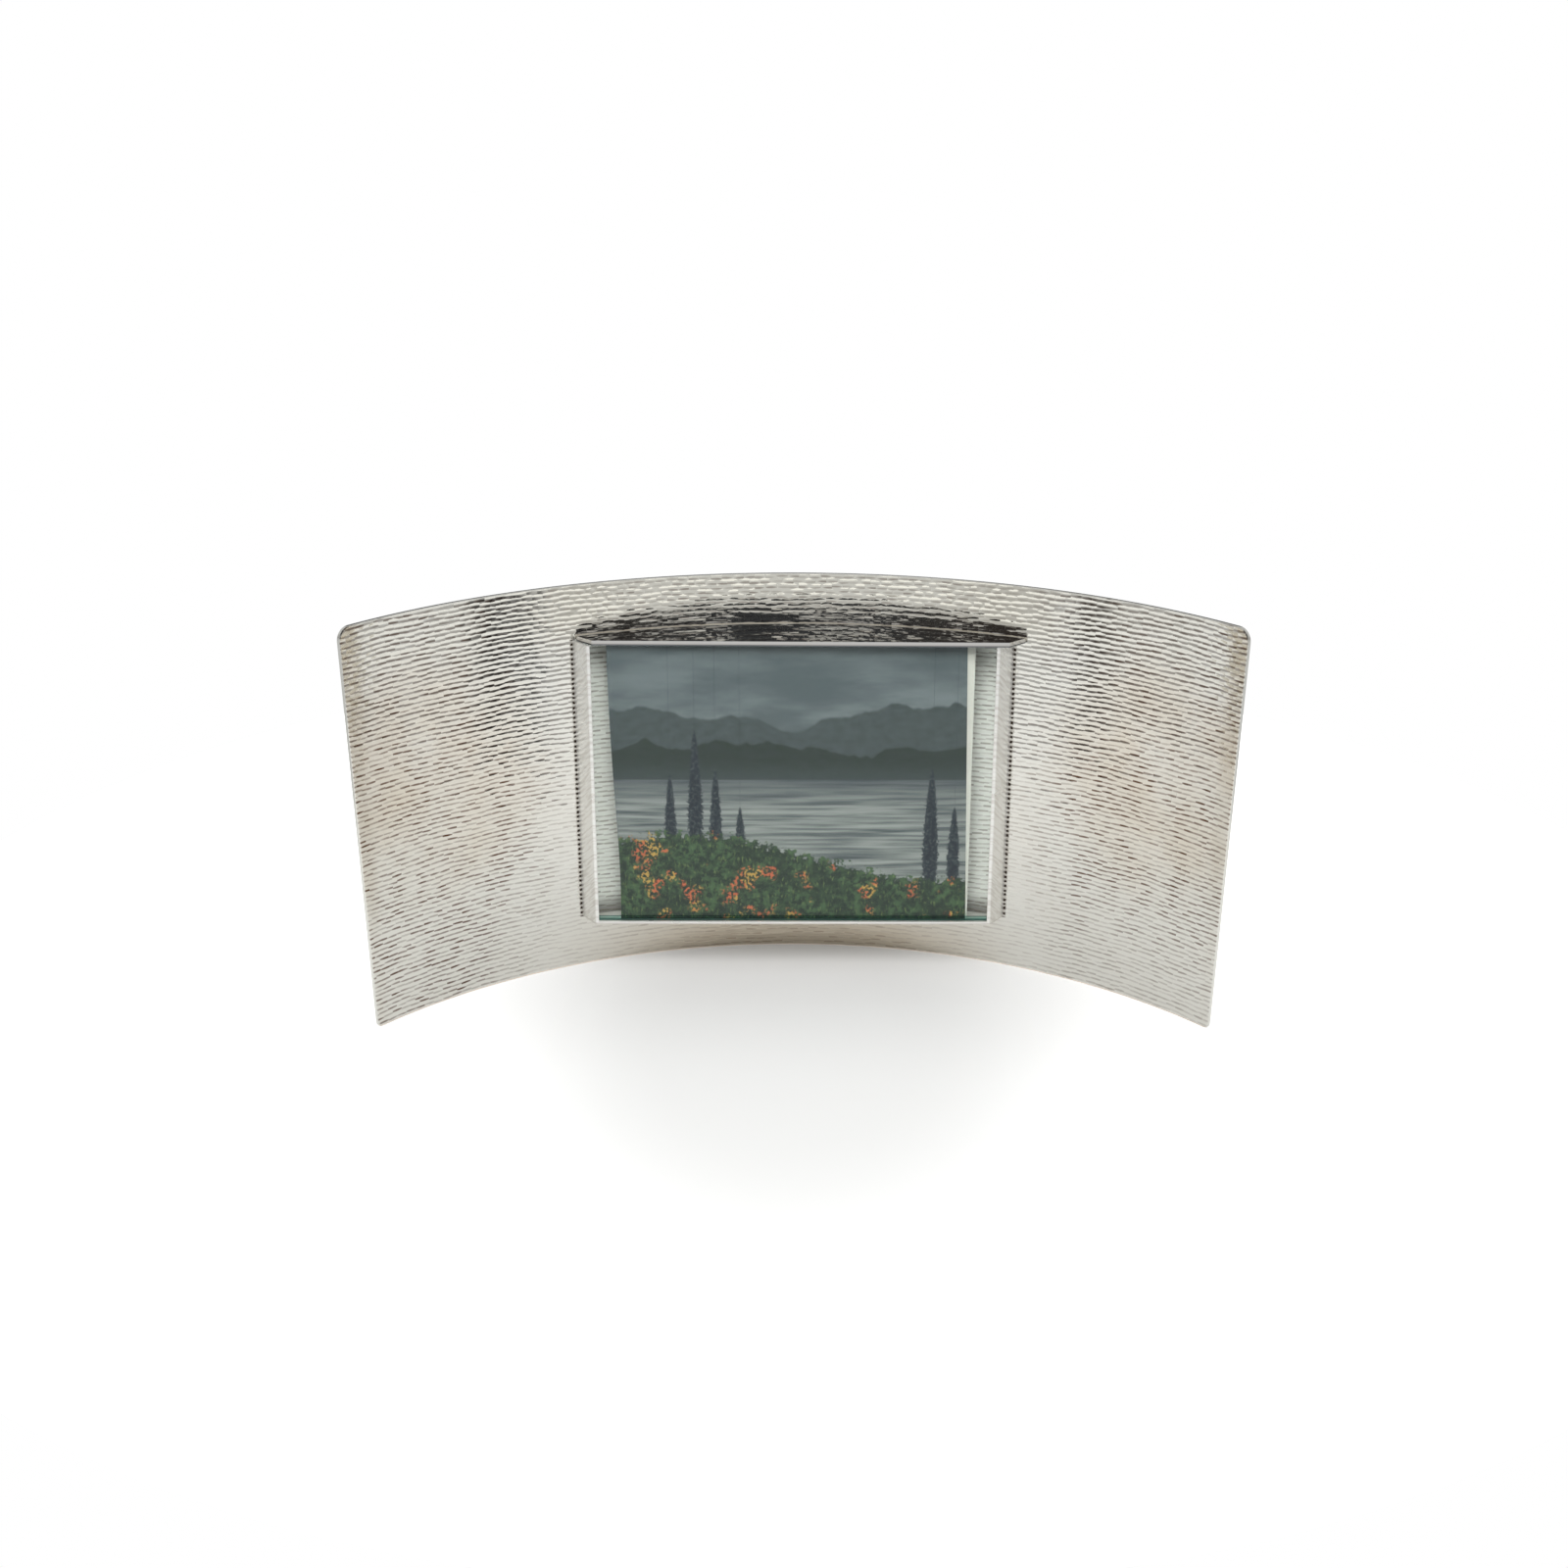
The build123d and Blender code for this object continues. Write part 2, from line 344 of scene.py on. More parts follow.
def buildBendTree(material):
    # hammers the front of the flat sheet, then bends it about its upright axis
    tree, given, result = newGroup("GeometryNodeTree", "hammerAndBend", [
        ("Geometry", "NodeSocketGeometry", None), ("Bend Radius", "NodeSocketFloat", bendRadius),
        ("Axis Y", "NodeSocketFloat", bendAxisY), ("Stroke Depth", "NodeSocketFloat", strokes["depth"]),
        ("Stroke Spacing", "NodeSocketFloat", strokes["spacing"]),
        ("Row Pitch", "NodeSocketFloat", strokes["pitch"]),
    ], [("Geometry", "NodeSocketGeometry")])
    place = split(tree, tree.nodes.new("GeometryNodeInputPosition").outputs[0])
    strokesInMesh = buildStrokeGroup("GeometryNodeTree", "strokesInMesh")
    marks = addNode(tree, "GeometryNodeGroup", {"node_tree": strokesInMesh}, Along=place[0], Up=place[2],
                    Spacing=given["Stroke Spacing"], Pitch=given["Row Pitch"])
    hammered = addNode(tree, "GeometryNodeInputNamedAttribute", {"data_type": "FLOAT"}, Name="hammered")
    hollow = calc(tree, "MINIMUM", marks.outputs["Hollow"], strokes["ridge"])
    dent = calc(tree, "SUBTRACT", strokes["ridge"], hollow)
    dent = times(tree, dent, given["Stroke Depth"], hammered.outputs["Attribute"])

    # blows differ in force from place to place
    force = noise(tree, combine(tree, place[0], times(tree, place[2], 0.6)), strokes["forceScale"])
    dent = times(tree, dent, smoothRange(tree, force, 0.36, 0.62, *strokes["force"]))
    out = calc(tree, "ADD", calc(tree, "ADD", given["Bend Radius"], place[1]), dent)
    angle = calc(tree, "DIVIDE", place[0], given["Bend Radius"])
    bentX = times(tree, out, calc(tree, "SINE", angle))
    bentY = calc(tree, "MULTIPLY_ADD", out, calc(tree, "COSINE", angle), given["Axis Y"])
    moved = addNode(tree, "GeometryNodeSetPosition", None, Geometry=given["Geometry"],
                    Position=combine(tree, bentX, bentY, place[2]))
    real = addNode(tree, "GeometryNodeRealizeInstances", None, Geometry=moved.outputs[0])
    painted = addNode(tree, "GeometryNodeSetMaterial", None, Geometry=real.outputs[0])
    painted.inputs["Material"].default_value = material
    plug(tree, painted.outputs[0], result["Geometry"])
    return tree


def applyTree(name, data, tree):
    # runs a node tree on a mesh and keeps the plain result
    raw = bpy.data.objects.new(name + "Raw", data)
    bpy.context.scene.collection.objects.link(raw)
    modifier = raw.modifiers.new("nodes", "NODES")
    modifier.node_group = tree
    evaluated = raw.evaluated_get(bpy.context.evaluated_depsgraph_get())
    final = bpy.data.meshes.new_from_object(evaluated, preserve_all_data_layers=True,
                                            depsgraph=bpy.context.evaluated_depsgraph_get())
    raw.modifiers.clear()
    bpy.data.objects.remove(raw)
    piece = bpy.data.objects.new(name, final)
    bpy.context.scene.collection.objects.link(piece)
    return piece


# Hairline scratches and faint patches of hand-finished metal
hairlines = {"scale": 900.0, "stretch": 12.0, "patchScale": 22.0}


def buildFineScratches():
    tree, given, result = newGroup("ShaderNodeTree", "fineScratches", [
        ("Vector", "NodeSocketVector", None), ("Scale", "NodeSocketFloat", hairlines["scale"]),
        ("Stretch", "NodeSocketFloat", hairlines["stretch"]),
    ], [("Height", "NodeSocketFloat"), ("Patches", "NodeSocketFloat")])
    parts = split(tree, given["Vector"])
    stretched = combine(tree, calc(tree, "DIVIDE", parts[0], given["Stretch"]), parts[1], parts[2])
    plug(tree, noise(tree, stretched, given["Scale"], 3.0, 0.6), result["Height"])
    plug(tree, noise(tree, given["Vector"], hairlines["patchScale"], 3.0, 0.55), result["Patches"])
    return tree


def patchyRoughness(tree, patches, roughness, swing):
    return calc(tree, "MULTIPLY_ADD", patches, swing, roughness - swing / 2)


strokeShading = buildStrokeGroup("ShaderNodeTree", "strokesInSurface")
scratchShading = buildFineScratches()

hammeredFinish = {
    "colours": {
        "silver": (0.90, 0.895, 0.845),
        "warm": (0.80, 0.72, 0.60),
        # a duller tone for the ends, and the painted shade of the foot below the box
        "dulled": (0.66, 0.59, 0.48),
        # brown oxide along the marks, with painted shade where they mirror the dark room
        "crease": (0.10, 0.035, 0.011),
        # oxide of the solder, and the painted shade just over the shelf
        "oxide": (0.05, 0.03, 0.02),
        "yellowed": (0.96, 0.93, 0.82),
        "pickled": (0.97, 0.965, 0.93),
        # a painted pale warm highlight along the rim it stands on
        "footRim": (0.98, 0.87, 0.76),
    },
    "roughness": 0.05,
    "backRoughness": 0.24,
    "pickledRoughness": 0.36,
    "rubbedRoughness": 0.5,
    "solderRoughness": 0.6,
    "pickledMetal": 0.25,
    "bump": 0.5,
    "unevenness": 0.00004,
    "scratchDepth": 0.000006,
    "facetScale": 105.0,
    "facetDepth": 0.00018,
}
# Where the sheet is worn, and where light and shade are painted on it, in metres. Aside is from its middle
# line, along is the same with a minus to the left, and up is from the floor. A pair is the two places
# between which something fades.
wear = {
    "handledAside": 0.172,
    "handledUp": 0.105,
    "handledReach": 0.045,
    # where the foot below the box has its painted shade
    "footAside": (0.03, 0.12),
    "footUp": (0.004, 0.034),
    "topUp": (0.150, 0.166),
    "topAside": (0.09, 0.14),
    "fromEnd": (0.013, 0.006),
    "endUp": (0.03, 0.08),
    # where the brown film with its painted shade lies
    "filmAside": (0.098, 0.135),
    "filmUp": (0.0, 0.065),
    "filmTopUp": (0.110, 0.170),
    "cornerAlong": (-0.165, -0.125),
    "railInner": (0.075, 0.095),
    "railOuter": (0.108, 0.132),
    "bandScale": 90.0,
    "boxEdge": 0.0006,
    "insideFoot": (0.002, 0.001),
    "solderWidth": (0.0007, 0.0016),
    "beadScale": 330.0,
    # where the painted shade just over the shelf lies inside the box
    "overShelf": (0.002, 0.012),
    # where the painted highlight along the rim lies
    "rubbedUp": (0.0004, 0.0009),
}
railLow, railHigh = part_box("right_rail")
railFoot = bendRadius * math.asin(railHigh[0] / bendRadius)  # along the sheet to the outside of a rail


def readSheet(tree):
    # what the finish goes by at each spot of the sheet
    flat = addNode(tree, "ShaderNodeUVMap", {"uv_map": "flatSheet"}).outputs[0]
    place = split(tree, flat)
    marks = addNode(tree, "ShaderNodeGroup", {"node_tree": strokeShading}, Along=place[0], Up=place[1])
    scratches = addNode(tree, "ShaderNodeGroup", {"node_tree": scratchShading}, Vector=flat)
    hammered = addNode(tree, "ShaderNodeAttribute", {"attribute_name": "hammered"}).outputs["Fac"]
    return {
        "flat": flat, "along": place[0], "aside": calc(tree, "ABSOLUTE", place[0]), "up": place[1],
        "hammered": hammered, "behind": calc(tree, "SUBTRACT", 1.0, hammered),
        "hollow": marks.outputs["Hollow"], "shade": marks.outputs["Shade"],
        "scratches": scratches.outputs["Height"], "patches": scratches.outputs["Patches"],
    }


def handledTarnish(tree, spot):
    # the middle of each wing is warmest, where it is handled
    reach = wear["handledReach"]
    sideways = calc(tree, "DIVIDE", calc(tree, "SUBTRACT", spot["aside"], wear["handledAside"]), reach)
    upward = calc(tree, "DIVIDE", calc(tree, "SUBTRACT", spot["up"], wear["handledUp"]), reach)
    handled = calc(tree, "ADD", times(tree, sideways, sideways), times(tree, upward, upward))
    return times(tree, smoothRange(tree, spot["patches"], 0.3, 0.7, 0.4, 1.0),
                 smoothRange(tree, handled, 0.0, 2.2, 0.8, 0.12),
                 linearRange(tree, spot["hammered"], 0.0, 1.0, 0.1, 1.0))


def wornColour(tree, spot, colours, foot):
    # below the box the foot gets a painted shade, the top is yellowed, and the last centimetre at each end
    # is duller
    colour = mixColour(tree, handledTarnish(tree, spot), colours["silver"], colours["warm"])
    top = times(tree, smoothRange(tree, spot["up"], *wear["topUp"], 0.0, 0.7),
                smoothRange(tree, spot["aside"], *wear["topAside"], 1.0, 0.3))
    endFrom, endTo = (halfArc - inside for inside in wear["fromEnd"])
    ends = times(tree, smoothRange(tree, spot["aside"], endFrom, endTo, 0.0, 0.5),
                 smoothRange(tree, spot["up"], *wear["endUp"], 0.2, 1.0),
                 smoothRange(tree, spot["patches"], 0.35, 0.6, 0.5, 1.0))
    for mask, tone in ((foot, "dulled"), (top, "yellowed"), (ends, "dulled")):
        colour = mixColour(tree, times(tree, mask, spot["hammered"]), colour, colours[tone])
    return colour


def brownFilm(tree, spot, foot):
    # a brown film of oxide along the lower side of each mark, with painted shade where the marks mirror the
    # dark room:
    # less of it in the middle, by the rails and low down, but not at the lower left corner, and at least
    # half of it where the foot has its painted shade
    aside, up = spot["aside"], spot["up"]
    lowFilm = smoothRange(tree, spot["along"], *wear["cornerAlong"], 1.0, 0.5)
    tall = combine(tree, spot["along"], times(tree, up, 0.2))
    bands = noise(tree, tall, wear["bandScale"], 3.0, 0.6)
    nearRails = times(tree, smoothRange(tree, aside, *wear["railInner"], 0.0, 0.3),
                      smoothRange(tree, aside, *wear["railOuter"], 1.0, 0.0))
    film = times(tree, smoothRange(tree, aside, *wear["filmAside"], 0.65, 1.0),
                 smoothRange(tree, up, *wear["filmUp"], lowFilm, 1.0),
                 smoothRange(tree, up, *wear["filmTopUp"], 1.0, 0.9),
                 smoothRange(tree, bands, 0.34, 0.60, 0.65, 1.0),
                 calc(tree, "SUBTRACT", 1.0, nearRails))
    film = calc(tree, "MAXIMUM", film, times(tree, foot, 0.5))
    return times(tree, film, spot["shade"], spot["hammered"])


def boxAndSolder(tree, spot):
    # masks of the sheet inside the box and of the solder along the rails, beaded in step with the marks
    up, edge = spot["up"], wear["boxEdge"]
    height = times(tree, smoothRange(tree, up, railLow[2] - edge, railLow[2]),
                   smoothRange(tree, up, railHigh[2], railHigh[2] + edge, 1.0, 0.0))
    insideFrom, insideTo = (railFoot - inside for inside in wear["insideFoot"])
    inBox = times(tree, smoothRange(tree, spot["aside"], insideFrom, insideTo, 1.0, 0.0), height,
                  spot["hammered"])
    fromFoot = calc(tree, "ABSOLUTE", calc(tree, "SUBTRACT", spot["aside"], railFoot))
    wander = noise(tree, combine(tree, spot["along"], up), wear["beadScale"])
    beads = calc(tree, "MULTIPLY_ADD", wander, 5.0, times(tree, up, 2 * math.pi / strokes["pitch"]))
    solder = times(tree, smoothRange(tree, fromFoot, *wear["solderWidth"], 1.0, 0.0), height,
                   spot["hammered"],
                   smoothRange(tree, calc(tree, "COSINE", beads), -0.6, 0.6, 0.25, 1.0))
    return inBox, solder


def pickledColour(tree, spot, colours):
    # inside the box the sheet is dull and white, brown along the marks, with painted shade just over the
    # shelf
    colour = mixColour(tree, times(tree, spot["shade"], 0.6), colours["pickled"], colours["crease"])
    shelfFrom, shelfTo = (railLow[2] + above for above in wear["overShelf"])
    # painted shade just over the shelf, deep in the box
    overShelf = smoothRange(tree, spot["up"], shelfFrom, shelfTo, 0.75, 0.0)
    return mixColour(tree, overShelf, colour, colours["oxide"])


def sheetRelief(tree, spot):
    # fine relief of the marks in front, broad shallow facets behind, ripples and scratches on both
    hollow = calc(tree, "MINIMUM", spot["hollow"], strokes["ridge"])
    relief = times(tree, hollow, strokes["depth"] * hammeredFinish["bump"], spot["hammered"])
    ripple = noise(tree, spot["flat"], 55.0, 1.0)
    relief = calc(tree, "MULTIPLY_ADD", ripple, hammeredFinish["unevenness"], relief)
    relief = calc(tree, "MULTIPLY_ADD", spot["scratches"], hammeredFinish["scratchDepth"], relief)
    facets = addNode(tree, "ShaderNodeTexVoronoi", {"feature": "SMOOTH_F1"}, Vector=spot["flat"],
                     Scale=hammeredFinish["facetScale"], Smoothness=0.35).outputs["Distance"]
    facets = times(tree, facets, spot["behind"], hammeredFinish["facetDepth"])
    return calc(tree, "ADD", relief, facets)


def makeHammeredSilver():
    material, tree, shader = newMaterial("hammeredSilver")
    look = hammeredFinish
    colours = {name: opaque(colour) for name, colour in look["colours"].items()}
    spot = readSheet(tree)
    # painted shade on the foot below the box, where it mirrors the shadowed floor
    foot = times(tree, smoothRange(tree, spot["aside"], *wear["footAside"], 1.0, 0.0),
                 smoothRange(tree, spot["up"], *wear["footUp"], 1.0, 0.0))
    inBox, solder = boxAndSolder(tree, spot)

    # the rim that it stands on gets a painted pale warm highlight, and is rougher and less metallic
    rubbed = smoothRange(tree, spot["up"], *wear["rubbedUp"], 1.0, 0.0)
    colour = wornColour(tree, spot, colours, foot)
    # the brown film with its painted shade, the box with its painted shade over the shelf, the solder, and
    # the rim's painted highlight
    for mask, tone in ((brownFilm(tree, spot, foot), colours["crease"]),
                       (inBox, pickledColour(tree, spot, colours)),
                       (solder, colours["oxide"]), (rubbed, colours["footRim"])):
        colour = mixColour(tree, mask, colour, tone)
    plug(tree, colour, shader.inputs["Base Color"])
    metal = linearRange(tree, inBox, 0.0, 1.0, 1.0, look["pickledMetal"])
    metal = times(tree, metal, calc(tree, "SUBTRACT", 1.0, rubbed))
    plug(tree, metal, shader.inputs["Metallic"])
    rough = patchyRoughness(tree, spot["patches"], look["roughness"], 0.06)
    satin = patchyRoughness(tree, spot["patches"], look["backRoughness"], 0.12)
    for mask, least in ((spot["behind"], satin), (inBox, look["pickledRoughness"]),
                        (rubbed, look["rubbedRoughness"]), (solder, look["solderRoughness"])):
        rough = calc(tree, "MAXIMUM", rough, times(tree, mask, least))
    plug(tree, rough, shader.inputs["Roughness"])
    addBump(tree, shader, sheetRelief(tree, spot))
    return material


hammeredSilver = makeHammeredSilver()
panel = applyTree("hammeredPanel", buildFlatSheet(), buildBendTree(hammeredSilver))
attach(panel, "frame")
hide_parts("curved_panel")
print("sheet hammered and bent:", len(panel.data.polygons), "faces")

# Rails and shelf
railFinish = {
    "silver": (0.97, 0.965, 0.93),
    "roughness": 0.28,
    "metal": 0.6,
    "unevenness": 0.00003,
    # file-mark relief, with its dark hatch painted as a reflection of the sheet's hammer marks
    "fileMarks": 1.0,
    "shelfShade": (0.0004, 0.0008),
}
# Lid and its tongues
lidFinish = {
    "silver": (0.86, 0.84, 0.81),
    "roughness": 0.035,
    "metal": 1.0,
    "unevenness": 0.00002,
    "fileMarks": 0.0,
    # the painted highlight along the back edge of the lid
    "edge": (0.90, 0.84, 0.80),
    "edgeRoughness": 0.4,
    "edgeWidth": (0.0016, 0.0010),
    "edgeDepth": 0.0002,
    "frontShade": (0.0004, 0.0006),
    "frontFoot": (0.0004, 0.0007),
}
polishedFinish = {
    "shadow": (0.68, 0.65, 0.60),
    "deepShadow": (0.26, 0.27, 0.28),
    "fileScale": 640.0,
    "fileStretch": 10.0,
    "fileDepth": 0.00002,
    "scratchDepth": 0.000003,
}


def wearShelf(tree, parts, colour, rough):
    # the lower half of the shelf's edge and the foot of each rail are in shade
    shadeFrom, shadeTo = (railLow[2] + above for above in railFinish["shelfShade"])
    lowest = smoothRange(tree, parts[2], shadeFrom, shadeTo, 0.7, 0.0)
    return mixColour(tree, lowest, colour, opaque(polishedFinish["shadow"])), rough


def wearLid(tree, parts, colour, rough):
    # the back edge of the lid gets a painted highlight and is rougher, its sides are in shade towards the
    # bottom, and so is all under it
    low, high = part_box("top_lid")
    toAxis = calc(tree, "SUBTRACT", parts[1], bendAxisY)
    reach = calc(tree, "MULTIPLY_ADD", parts[0], parts[0], times(tree, toAxis, toAxis))
    reach = calc(tree, "SQRT", reach)
    wornFrom, wornTo = (bendRadius - inside for inside in lidFinish["edgeWidth"])
    worn = times(tree, smoothRange(tree, reach, wornFrom, wornTo),
                 calc(tree, "GREATER_THAN", parts[2], high[2] - lidFinish["edgeDepth"]))
    under = smoothRange(tree, parts[2], low[2] + lidFinish["frontShade"][0],
                        high[2] - lidFinish["frontShade"][1], 1.0, 0.0)
    footFrom, footTo = (low[2] + above for above in lidFinish["frontFoot"])
    lowest = smoothRange(tree, parts[2], footFrom, footTo, 1.0, 0.0)
    # painted highlight on the back edge, painted shade low on the sides and under the lid
    for mask, tone in ((worn, lidFinish["edge"]), (under, polishedFinish["shadow"]),
                       (lowest, polishedFinish["deepShadow"])):
        colour = mixColour(tree, mask, colour, opaque(tone))
    return colour, calc(tree, "MAXIMUM", rough, times(tree, worn, lidFinish["edgeRoughness"]))


def makePolishedSilver(name, finish, wearEdges):
    material, tree, shader = newMaterial(name)
    place = objectPlace(tree)
    scratches = addNode(tree, "ShaderNodeGroup", {"node_tree": scratchShading}, Vector=place).outputs
    parts = split(tree, place)
    warmed = smoothRange(tree, scratches["Patches"], 0.5, 0.8, 0.0, 0.15)
    colour = mixColour(tree, warmed, opaque(finish["silver"]), opaque(hammeredFinish["colours"]["warm"]))

    # file marks rise towards the lips on both sides; their dark hatch is a painted reflection of the
    # sheet's hammer marks
    along = calc(tree, "DIVIDE", calc(tree, "SUBTRACT", parts[2], parts[1]), polishedFinish["fileStretch"])
    filed = combine(tree, along, calc(tree, "ADD", parts[2], parts[1]))
    filed = noise(tree, filed, polishedFinish["fileScale"], 2.0, 0.6)
    filedShade = smoothRange(tree, filed, 0.40, 0.54, 0.55 * finish["fileMarks"], 0.0)
    colour = mixColour(tree, filedShade, colour, opaque(polishedFinish["shadow"]))
    rough = patchyRoughness(tree, scratches["Patches"], finish["roughness"], 0.06)
    # painted highlight and shade on the edges
    colour, rough = wearEdges(tree, parts, colour, rough)
    plug(tree, colour, shader.inputs["Base Color"])
    shader.inputs["Metallic"].default_value = finish["metal"]
    plug(tree, rough, shader.inputs["Roughness"])
    relief = times(tree, noise(tree, place, 60.0, 1.0), finish["unevenness"])
    relief = calc(tree, "MULTIPLY_ADD", scratches["Height"], polishedFinish["scratchDepth"], relief)
    relief = calc(tree, "MULTIPLY_ADD", filed, polishedFinish["fileDepth"] * finish["fileMarks"], relief)
    addBump(tree, shader, relief)
    return material


def paint(node, material):
    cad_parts[node].data.materials.clear()
    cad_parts[node].data.materials.append(material)


railSilver = makePolishedSilver("railSilver", railFinish, wearShelf)
lidSilver = makePolishedSilver("lidSilver", lidFinish, wearLid)
for node in ("left_rail", "right_rail", "base_shelf"):
    paint(node, railSilver)
for node in ("top_lid", "lid_tongues"):
    paint(node, lidSilver)
print("polished silver painted")

# Glass pane: its cut lower edge shows dark green with a paler line in it
glassFinish = {
    "tint": (0.96, 0.98, 0.965),
    "edge": (0.03, 0.13, 0.11),
    "edgeLine": (0.30, 0.62, 0.54),
    "edgeHeight": 0.0029,
    "edgeFadeShare": 0.8,
    "lineShare": 0.6,
    "lineWidthShare": 0.12,
    "index": 1.3,
}


def makeGlass():
    material, tree, shader = newMaterial("paneGlass")
    shader.inputs["Transmission Weight"].default_value = 1
    shader.inputs["IOR"].default_value = glassFinish["index"]
    place = objectPlace(tree)
    up = split(tree, place)[2]
    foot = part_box("glass_pane")[0][2]
    tall = glassFinish["edgeHeight"]
    edge = smoothRange(tree, up, foot + glassFinish["edgeFadeShare"] * tall, foot + tall, 1.0, 0.0)
    line = calc(tree, "COMPARE", up, foot + glassFinish["lineShare"] * tall,
                glassFinish["lineWidthShare"] * tall)
    deep = mixColour(tree, line, opaque(glassFinish["edge"]), opaque(glassFinish["edgeLine"]))
    plug(tree, mixColour(tree, edge, opaque(glassFinish["tint"]), deep), shader.inputs["Base Color"])
    smears = noise(tree, place, 120.0, 4.0)
    plug(tree, smoothRange(tree, smears, 0.55, 0.8, 0.0, 0.03), shader.inputs["Roughness"])

    # rays of shadows and mirror images pass straight through the pane
    clear = addNode(tree, "ShaderNodeBsdfTransparent", None, Color=opaque(glassFinish["tint"]))
    rays = addNode(tree, "ShaderNodeLightPath").outputs
    mix = addNode(tree, "ShaderNodeMixShader")
    plug(tree, calc(tree, "MAXIMUM", rays["Is Shadow Ray"], rays["Is Glossy Ray"]), mix.inputs[0])
    plug(tree, shader.outputs[0], mix.inputs[1])
    plug(tree, clear.outputs[0], mix.inputs[2])
    plug(tree, mix.outputs[0], tree.nodes["Material Output"].inputs["Surface"])
    return material


paint("glass_pane", makeGlass())

cardFinish = {"colour": (0.62, 0.605, 0.56), "darkShare": 0.85, "roughness": 0.9, "grainScale": 700.0}


def makeCard():
    material, tree, shader = newMaterial("creamCard")
    grain = noise(tree, objectPlace(tree), cardFinish["grainScale"], 4.0, 0.6)
    darker = tuple(cardFinish["darkShare"] * part for part in cardFinish["colour"])
    colour = mixColour(tree, grain, opaque(darker), opaque(cardFinish["colour"]))
    plug(tree, colour, shader.inputs["Base Color"])
    shader.inputs["Roughness"].default_value = cardFinish["roughness"]
    addBump(tree, shader, grain, 0.2, 0.0002)
    return material


# The print. Its places are shares of its width and height.
printLook = {
    "sky": (0.085, 0.105, 0.115),
    "skyPale": (0.23, 0.26, 0.275),
    "farHill": (0.060, 0.075, 0.080),
    "nearHill": (0.018, 0.026, 0.024),
    "lake": (0.34, 0.355, 0.34),
    "lakeDark": (0.055, 0.068, 0.080),
    "tree": (0.004, 0.006, 0.018),
    "meadow": (0.06, 0.115, 0.045),
    "meadowDark": (0.010, 0.020, 0.012),
    "sprig": (0.17, 0.24, 0.07),
    "bloom": (0.60, 0.13, 0.05),
    "bloomPale": (0.55, 0.33, 0.07),
    "haze": (0.10, 0.115, 0.12),
    "back": (0.72, 0.71, 0.68),
}
printLayout = {
    "aspect": 1.35,
    "farCrest": (0.76, 0.34, 2.4, 3.1),  # level, swing, noise scale and seed
    "nearCrest": (0.63, 0.30, 3.1, 7.7),
    "waterline": 0.52,
    # conifers: middle, foot, height and half width
    "conifers": ((0.235, 0.20, 0.50, 0.032), (0.292, 0.18, 0.38, 0.027), (0.165, 0.22, 0.32, 0.025),
                 (0.36, 0.18, 0.24, 0.024), (0.895, 0.08, 0.48, 0.033), (0.96, 0.10, 0.32, 0.027)),
    "shoreLevel": 0.235,
    "shoreSwing": 0.085,
    "haze": 0.16,
}


